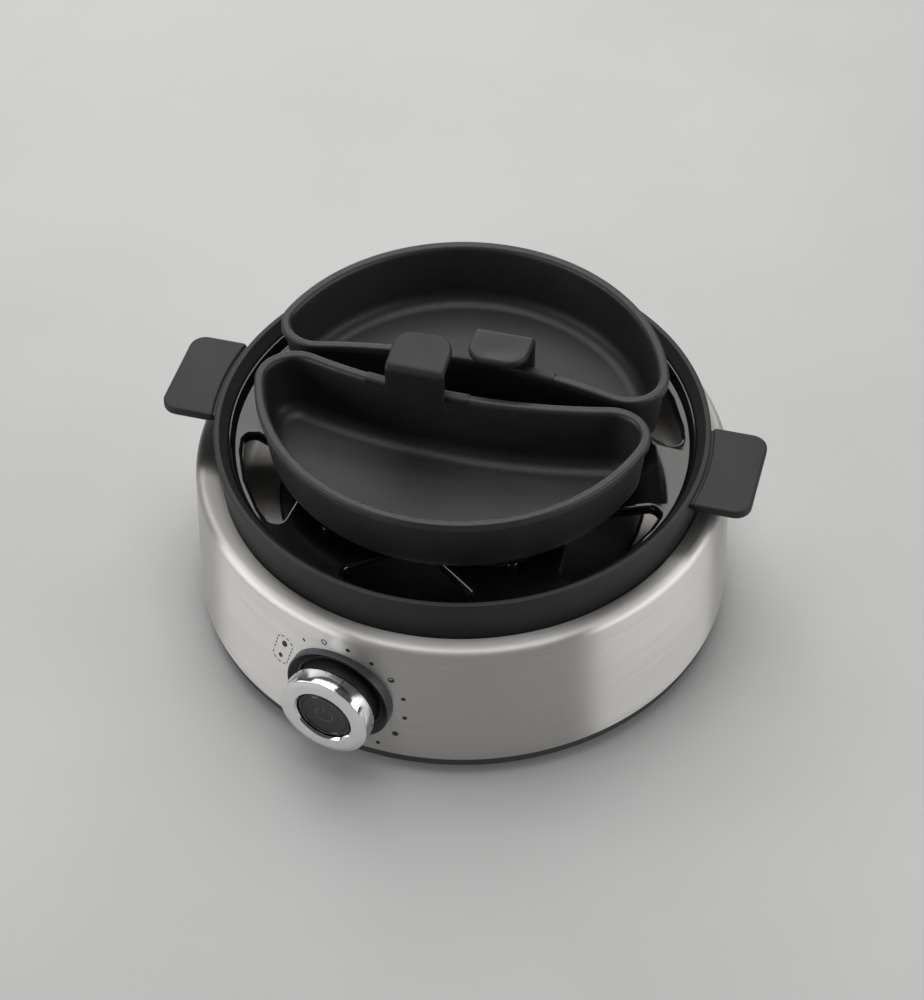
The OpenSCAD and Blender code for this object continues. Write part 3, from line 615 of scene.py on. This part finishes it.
def dial_point(clockwise, r=None):
    a = math.radians(90 - clockwise)
    r = DIAL_R if r is None else r
    return (r * math.cos(a), r * math.sin(a) - DIAL_DOWN)


def dial_marks():
    """Dots, open, half-filled and filled circles for soft to hard eggs, and the poaching symbol."""
    marks = []
    for a in (9, 31, 76, 99, 144):
        marks.append(printed(circle(dial_point(a), 0.85 * MM, 18)))
    half, low, high = 0.45 * MM, DIAL_R - 0.7 * MM, DIAL_R + 0.7 * MM
    tick = rounded([(-half, low), (half, low), (half, high), (-half, high)], [0.3 * MM] * 4, 3)
    tick = turn_points(tick, 35)
    marks.append(printed([(x, y - DIAL_DOWN) for x, y in tick]))
    for a in (-13, 53):
        c = dial_point(a)
        marks.append(loft(printed_band(circle(c, 0.8 * MM, 28), circle(c, 1.2 * MM, 28)), looped=True))
    c = dial_point(53)
    marks.append(printed(arc(c, 0.9 * MM, 200, 380, 14)))
    marks.append(printed(circle(dial_point(122), 1.15 * MM, 28)))
    # poaching symbol: a dashed pan outline with two eggs in it
    c = dial_point(-71, 25.4 * MM)
    lean, w, h = -17, 3.3 * MM, 7.4 * MM
    line = rounded([(-w, -h), (w, -h), (w, h), (-w, h)], [2.9 * MM] * 4, 6)
    dense = []
    for i, p in enumerate(line):
        q = line[(i + 1) % len(line)]
        n = max(1, round(math.dist(p, q) / (0.25 * MM)))
        dense += [(p[0] + (q[0] - p[0]) * k / n, p[1] + (q[1] - p[1]) * k / n) for k in range(n)]
    dense = [(x + c[0], y + c[1]) for x, y in turn_points(dense, lean)]
    inner, outer = inset(dense, 0.2 * MM), inset(dense, -0.2 * MM)
    dash = 6
    for k in range(0, len(dense) - dash, dash + 3):
        marks.append(loft(printed_band(inner[k:k + dash], outer[k:k + dash])))
    for side, size in ((1, 1.0), (-1, 0.75)):
        egg = [(1.15 * size * MM * math.cos(t), 1.6 * size * MM * math.sin(t) + side * 3.8 * MM)
               for t in (2 * math.pi * i / 20 for i in range(20))]
        marks.append(printed([(x + c[0], y + c[1]) for x, y in turn_points(egg, lean)]))
    piece("dial_marks", joined(*marks), INK, "housing", sharp=30)


# ---- egg tray ----

def carrier_ring():
    """The matte ring with its two paddle handles, moulded in one piece."""
    inner, skirt, top_r = TRAY_R + 0.2 * MM, RING_R - 2.2 * MM, RING_R + RING_FLARE
    ledge, bottom = LEDGE_Z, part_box("carrier_ring")[0].z
    profile = [(skirt, bottom), (RING_R - 0.3 * MM, bottom), (RING_R, bottom + 0.3 * MM)]
    profile += arc((top_r - 0.6 * MM, RIM_Z - 0.6 * MM), 0.6 * MM, 0, 90, 6)
    profile += arc((top_r - 1.7 * MM, RIM_Z - 0.5 * MM), 0.5 * MM, 90, 155, 4)
    profile += [(inner + 0.35 * MM, ledge + 2.7 * MM), (inner, ledge + 2.2 * MM)]
    profile += [(inner, ledge), (inner - 1 * MM, ledge), (inner - 1 * MM, ledge - 1.4 * MM),
                (skirt, ledge - 4 * MM)]
    parts = [lathe(profile, 256)]
    start, half, low = top_r + 0.9 * MM, HANDLE_W / 2, RIM_Z - 3.6 * MM
    reach = math.degrees(math.asin((half - 0.6 * MM) / start))
    edge = arc((0, 0), start, reach, -reach, 24)
    end = rounded([(start - 1 * MM, -half), (HANDLE_R, -half), (HANDLE_R, half), (start - 1 * MM, half)],
                  [0, 6 * MM, 6 * MM, 0], 10)[1:-1]
    outline = rounded(
        [edge[-1]] + [(start * math.cos(math.radians(reach)) + 1.0 * MM, -half)] + end
        + [(start * math.cos(math.radians(reach)) + 1.0 * MM, half)] + edge[:-1],
        [0.0] * (len(end) + 2 + len(edge)), 4)
    handle = rounded_plate(outline, low, RIM_Z, 0.9 * MM, 5)
    root = rounded_plate(
        arc((0, 0), top_r - 1.2 * MM, 12.2, -12.2, 16) + arc((0, 0), start + 1.2 * MM, -12.2, 12.2, 16),
        low + 0.3 * MM, RIM_Z - 0.9 * MM, 0.1 * MM, 2)
    for turned in (Matrix.Identity(4), HALF_TURN):
        parts += [placed(handle, turned), placed(root, turned)]
    piece("handle_ring", placed(joined(*parts), TURNED), LOOKS["ring_plastic"], "tray",
          ["carrier_ring"])


WINDOW_IN, WINDOW_OUT = 60.3 * MM, 80 * MM
WINDOW_HALF_IN, WINDOW_HALF_OUT = 7.4 * MM, 27.5 * MM
WINDOW_ROUND = 3.5 * MM
EGG_R, EGG_CIRCLE = 19 * MM, 44.9 * MM


def window_outline(o):
    """One steam window on the +X side, grown by o all round."""
    a = Vector((WINDOW_IN, WINDOW_HALF_IN))
    d = (Vector((math.sqrt(WINDOW_OUT ** 2 - WINDOW_HALF_OUT ** 2), WINDOW_HALF_OUT)) - a).normalized()
    p, r = a + o * Vector((-d.y, d.x)), WINDOW_OUT + o
    low = p + d * (WINDOW_IN - o - p.x) / d.x
    along = p.dot(d)
    high = p + d * (-along + math.sqrt(along ** 2 - p.dot(p) + r * r))
    edge = math.degrees(math.atan2(high.y, high.x))
    outer = arc((0, 0), r, -edge, edge, 4)
    corner = WINDOW_ROUND + o
    return rounded([(low.x, -low.y)] + outer + [tuple(low)],
                   [corner, corner, 0, 0, 0, corner, corner], 9)


def egg_outline(o, centre=(0.0, 0.0)):
    return circle(centre, EGG_R + o, 72)


def lip(outline, turn_r, drop, thick):
    """A rolled lip: round from the sheet's top into the opening, down, and back up on the outside."""
    rings = []
    for i in range(9):
        a = math.radians(90 * i / 8)
        rings.append(at_height(outline(turn_r * (1 - math.sin(a))), FLOOR_Z - turn_r * (1 - math.cos(a))))
    rings += [at_height(outline(0), FLOOR_Z - turn_r - drop + 0.3 * MM),
              at_height(outline(0.3 * MM), FLOOR_Z - turn_r - drop),
              at_height(outline(thick - 0.3 * MM), FLOOR_Z - turn_r - drop),
              at_height(outline(thick), FLOOR_Z - turn_r - drop + 0.3 * MM),
              at_height(outline(thick), FLOOR_Z - TRAY_SHEET)]
    return loft(rings, caps=False)


def egg_tray():
    """The glossy tray: a flat floor with rolled lips round its windows and egg holes, and a raised edge."""
    turn_r, drop, thick = 1.7 * MM, 2.4 * MM, 1.6 * MM
    openings = [lambda o, k=k: turn_points(window_outline(o), 30 + 60 * k) for k in range(6)]
    openings += [egg_outline] + [
        lambda o, k=k: turn_points(egg_outline(o, (EGG_CIRCLE, 0)), 60 * k) for k in range(6)]
    edge_r = 82.2 * MM
    top = flat_with_holes(circle((0, 0), edge_r, 192), [o(turn_r) for o in openings], FLOOR_Z)
    under = flat_with_holes(circle((0, 0), edge_r, 192), [o(thick) for o in openings], FLOOR_Z - TRAY_SHEET)
    ledge = LEDGE_Z
    wall = [(edge_r, FLOOR_Z)] + arc((edge_r, FLOOR_Z + 1.0 * MM), 1.0 * MM, -80, -20, 5)
    wall += [(83.75 * MM, ledge + 1.2 * MM), (84.0 * MM, ledge + 1.65 * MM), (84.4 * MM, ledge + 1.75 * MM),
             (TRAY_R, ledge + 1.5 * MM), (TRAY_R, ledge), (83.6 * MM, ledge),
             (82.5 * MM, FLOOR_Z - 1.6 * MM), (edge_r, FLOOR_Z - TRAY_SHEET)]
    parts = [top, under, lathe(wall, 192, closed=False)] + [lip(o, turn_r, drop, thick) for o in openings]
    peg = [(0, FLOOR_Z - 0.5 * MM), (2.0 * MM, FLOOR_Z - 0.5 * MM), (2.0 * MM, PAN_BOTTOM_Z - 0.9 * MM)]
    peg += arc((1.4 * MM, PAN_BOTTOM_Z - 0.9 * MM), 0.6 * MM, 0, 90, 4) + [(0, PAN_BOTTOM_Z - 0.3 * MM)]
    support = lathe(peg, 32, closed=False)
    for a in (60, 120, 240, 300):
        x, y = turn_points([(66.6 * MM, 0)], a)[0]
        parts.append(placed(support, Matrix.Translation((x, y, 0))))
    for side in (-1, 1):
        parts.append(placed(support, Matrix.Translation((0, side * EGG_CIRCLE / math.sqrt(3), 0))))
    piece("tray_dish", placed(joined(*parts), TURNED), LOOKS["tray_plastic"], "tray",
          ["egg_tray"], 30)


# ---- poaching pans ----

PAN_R, SIDE_R, SIDE_GAP, CORNER_R = 73.7 * MM, 222 * MM, 8.6 * MM, 14 * MM
PAN_RIM_W = 3.5 * MM
FAR = SIDE_R - SIDE_GAP


def pan_outline(o):
    """Half-round outline moved inwards by o: round side, two tangent corners and a long concave side."""
    k, reach = PAN_R - CORNER_R, SIDE_R + CORNER_R
    cy = -(reach ** 2 - k ** 2 - FAR ** 2) / (2 * FAR)
    cx = math.sqrt(k * k - cy * cy)
    out, side = math.degrees(math.atan2(cy, cx)), math.degrees(math.acos(cx / reach))
    points = arc((0, 0), PAN_R - o, -180 - out, out, 72)[:-1]
    points += arc((cx, cy), CORNER_R - o, out, 180 - side, 18)[:-1]
    points += arc((0, FAR), SIDE_R + o, -side, side - 180, 36)[:-1]
    points += arc((-cx, cy), CORNER_R - o, side, 180 - out, 18)[:-1]
    return points


def pan(name, matrix, body, node):
    """A pan with a crowned rim band, drafted walls and rounded bottom edges, inside and out."""
    draft, wall, fillet, bottom, rim = 3 * MM, 1.8 * MM, 7 * MM, PAN_BOTTOM_Z, PAN_RIM_Z
    sections = []
    for i in range(9):
        a = math.radians(90 * i / 8)
        sections.append((draft + fillet * (1 - math.sin(a)), bottom + fillet * (1 - math.cos(a))))
    sections += [(2.1 * MM, rim - 12 * MM), (1.35 * MM, rim - 3.6 * MM), (1.0 * MM, rim - 3.25 * MM),
                 (0.25 * MM, rim - 3.1 * MM), (0.03 * MM, rim - 2.85 * MM)]
    sections += [(0.9 * MM - r, z) for r, z in arc((0, rim - 0.9 * MM), 0.9 * MM, 0, 90, 6)]
    crown = arc((0, rim - 2.1 * MM), 2.1 * MM, 90, 10, 8)
    sections += [(PAN_RIM_W - 1.5 * MM + r * 0.85, z) for r, z in crown]
    sections += [(PAN_RIM_W + 0.35 * MM, rim - 3 * MM), (PAN_RIM_W + 0.6 * MM, rim - 10 * MM)]
    for i in range(9):
        a = math.radians(90 * (1 - i / 8))
        sections.append((draft + wall + (fillet - 1 * MM) * (1 - math.sin(a)),
                         bottom + wall + (fillet - 1 * MM) * (1 - math.cos(a))))
    shape = loft([at_height(pan_outline(o), z) for o, z in sections])
    piece(name, placed(shape, matrix), LOOKS["pan_coating"], body, [node], 35)


GRIP_BEND_Z = 113.9 * MM
GRIP_W = 21.5 * MM
GRIP_DISH = 0.8 * MM


def grip_section(offset, centre, normal, half_w, half_t, dish):
    """Rounded cross-section of the grip's bent plate, with its outer face dished at the middle."""
    edge = min(1.1 * MM, half_t * 0.92, half_w * 0.9)
    face = [-1 + 2 * i / 12 for i in range(13)]
    line = [(u * (half_w - edge), half_t - dish * (1 - u * u) ** 1.5) for u in face]
    line += [(half_w - edge + r, half_t - edge + h) for r, h in arc((0, 0), edge, 80, 0, 4)]
    line += [(half_w - edge + r, -half_t + edge + h) for r, h in arc((0, 0), edge, -10, -90, 4)]
    line += [(-u * (half_w - edge), -half_t) for u in face[1:]]
    line += [(-half_w + edge + r, -half_t + edge + h) for r, h in arc((0, 0), edge, -100, -180, 4)]
    line += [(-half_w + edge + r, half_t - edge + h) for r, h in arc((0, 0), edge, 170, 100, 4)]
    return [(offset + x, centre[0] + h * normal[0], centre[1] + h * normal[1]) for x, h in line]


def grip_plate(offset):
    """The bent plate: up from the rim, round a bend and out to a raised, rounded lip."""
    half_t, bend, end, corner = 1.5 * MM, 1.6 * MM, 4.3 * MM, 7.5 * MM
    foot_y, low = -12.8 * MM, PAN_RIM_Z - 1.5 * MM
    slope = math.atan2(GRIP_TOP_Z - GRIP_BEND_Z, 18.6 * MM)
    level = GRIP_BEND_Z - half_t / math.cos(slope)
    centre = (foot_y + bend, level - bend * 0.9)
    stations = [(foot_y, z) for z in (low, low + 2 * MM, low + 4 * MM)]
    normals = [(-1, 0)] * 3
    turns = [180 - (90 - math.degrees(slope)) * i / 8 for i in range(9)]
    for a in (math.radians(t) for t in turns):
        stations.append((centre[0] + bend * math.cos(a), centre[1] + bend * math.sin(a)))
        normals.append((math.cos(a), math.sin(a)))
    start = stations[-1]
    stop = end - half_t
    run = stop - start[0]
    rise = (GRIP_TOP_Z - half_t / math.cos(slope)) - start[1]
    up = normals[-1]
    for i in range(1, 15):
        stations.append((start[0] + run * i / 14, start[1] + rise * i / 14))
        normals.append(up)
    rings = []
    for (y, z), n in zip(stations, normals):
        gap = end - y
        half_w = GRIP_W / 2
        if gap < corner:
            half_w -= corner - math.sqrt(corner ** 2 - (corner - gap) ** 2)
        along = min(1, max(0, (y - start[0]) / (end - start[0])))
        dish = GRIP_DISH * math.sin(math.pi * along) ** 1.2
        rings.append(grip_section(offset, (y, z), n, half_w, half_t, dish))
    last = stations[-1]
    for i in range(1, 6):
        a = math.radians(90 * i / 6)
        y = stop + half_t * math.sin(a)
        half_w = GRIP_W / 2 - corner + math.sqrt(corner ** 2 - (corner - (end - y)) ** 2)
        rings.append(grip_section(offset, (y, last[1]), up, half_w, half_t * math.cos(a), 0))
    return loft(rings)


def grip_strip(offset):
    """The clip that follows the pan's long rim and holds the plate."""
    half_len, low, top = 19.2 * MM, PAN_RIM_Z - 2.2 * MM, PAN_RIM_Z + 0.35 * MM
    centre_r = SIDE_R + PAN_RIM_W / 2
    half_w = PAN_RIM_W / 2 + 0.3 * MM
    rings = []
    section = rounded([(-half_w, low), (half_w, low), (half_w, top), (-half_w, top)],
                      [0.3 * MM, 0.3 * MM, 1.1 * MM, 1.1 * MM], 5)
    middle = sum(z for _, z in section) / len(section)
    spots = [-1, -0.992] + [-1 + 2 * i / 16 for i in range(1, 16)] + [0.992, 1]
    for spot in spots:
        scale = 0.8 if abs(spot) == 1 else 1.0
        x = offset + spot * half_len
        a = math.asin(x / centre_r)
        rings.append([((centre_r + w * scale) * math.sin(a), FAR - (centre_r + w * scale) * math.cos(a),
                       middle + (z - middle) * scale) for w, z in section])
    return loft(rings)


def grip(name, matrix, body, node, offset):
    """The plate and its clip. The offset is where it stands along the pan's long side."""
    shape = placed(joined(grip_plate(offset), grip_strip(offset)), matrix)
    piece(name, shape, LOOKS["grip_plastic"], body, [node], 50)


# ---- scene ----

def carried_over():
    """Every CAD node gets its slot's material."""
    slots = {p["node"]: p["material_slot"] for p in frame["record"]["subparts"]}
    for name, obj in frame["nodes"].items():
        obj.data.materials.clear()
        obj.data.materials.append(LOOKS[slots[name]])


def softbox(name, azimuth, elevation, distance, size, power, colour=(1, 1, 1)):
    """An area light aimed at the object. Azimuth 0 is in front, and 90 on the right."""
    light = bpy.data.lights.new(name, "AREA")
    light.shape = "RECTANGLE"
    light.size, light.size_y = size
    light.energy = power
    light.color = colour
    a, e = math.radians(azimuth), math.radians(elevation)
    away = Vector((math.sin(a) * math.cos(e), -math.cos(a) * math.cos(e), math.sin(e)))
    lamp = bpy.data.objects.new(name, light)
    lamp.location = Vector((0, 0, SHOULDER_Z)) + away * distance
    lamp.rotation_mode = "QUATERNION"
    lamp.rotation_quaternion = away.to_track_quat("Z", "Y")
    bpy.context.scene.collection.objects.link(lamp)


VIEW_AZIMUTH, VIEW_ELEVATION = 26.5, 44.938
VIEW_DISTANCE = 0.9509
VIEW_PAN, VIEW_TILT, VIEW_ROLL = 0.022, -1.0597, -0.5777


def camera():
    """Looks at the shoulder's centre, a little off by a small pan, tilt and roll."""
    data = bpy.data.cameras.new("camera")
    data.sensor_fit = "VERTICAL"
    data.sensor_height = 36
    data.sensor_width = 36
    data.lens = 93.6
    data.clip_start, data.clip_end = 0.01, 50
    cam = bpy.data.objects.new("camera", data)
    around = Matrix.Rotation(math.radians(VIEW_AZIMUTH), 4, "Z")
    turn = around @ Matrix.Rotation(math.radians(90 - VIEW_ELEVATION), 4, "X")
    back = turn @ Vector((0, 0, VIEW_DISTANCE))
    turn = turn @ Matrix.Rotation(math.radians(VIEW_PAN), 4, "Y")
    turn = turn @ Matrix.Rotation(math.radians(VIEW_TILT), 4, "X")
    turn = turn @ Matrix.Rotation(math.radians(VIEW_ROLL), 4, "Z")
    cam.matrix_world = Matrix.Translation(Vector((0, 0, SHOULDER_Z)) + back) @ turn
    bpy.context.scene.collection.objects.link(cam)
    bpy.context.scene.camera = cam


def floor():
    size = 3.0
    mesh = bpy.data.meshes.new("floor")
    corners = [(-size, -size, 0), (size, -size, 0), (size, size, 0), (-size, size, 0)]
    mesh.from_pydata(corners, [], [(0, 1, 2, 3)])
    look = Look("floor_pale", (0.5, 0.5, 0.497), 0.7)
    cloud = look.noise(look.place(), 6.0, 5.0)
    mesh.materials.append(look.use(base_color=look.blend(cloud, (0.48, 0.48, 0.477), (0.52, 0.52, 0.517))))
    obj = bpy.data.objects.new("floor", mesh)
    bpy.context.scene.collection.objects.link(obj)


def lights():
    world = bpy.data.worlds.new("studio")
    world.use_nodes = True
    world.node_tree.nodes["Background"].inputs[0].default_value = (0.86, 0.88, 0.9, 1)
    world.node_tree.nodes["Background"].inputs[1].default_value = 0.08
    bpy.context.scene.world = world
    behind = VIEW_AZIMUTH + 180
    softbox("key_back", behind + 4, 58, 0.8, (1.0, 0.42), 3.4, (1.0, 0.99, 0.97))
    softbox("overhead", behind, 88, 1.3, (0.9, 0.9), 7.5)
    softbox("back_window", behind + 8, 15, 1.0, (0.9, 0.22), 3.0)
    softbox("side_left", VIEW_AZIMUTH - 72, 16, 0.85, (0.9, 0.3), 3.4)
    softbox("side_right", VIEW_AZIMUTH + 74, 16, 0.85, (0.9, 0.3), 3.4)
    bpy.context.scene.view_settings.view_transform = "Standard"


camera()
carried_over()
housing_shell()
heating_bowl()
heating_plate()
knob_bezel()
knob_hub()
knob_ring()
knob_index()
start_button()
return_spring()
dial_marks()
carrier_ring()
egg_tray()
pan("pan_near", TURNED, "front_pan", "pan_front")
grip("grip_near", TURNED, "front_pan", "grip_front", -13.6 * MM)
pan("pan_far", TURNED @ HALF_TURN, "back_pan", "pan_back")
grip("grip_far", TURNED @ HALF_TURN, "back_pan", "grip_back", -12.8 * MM)
floor()
lights()
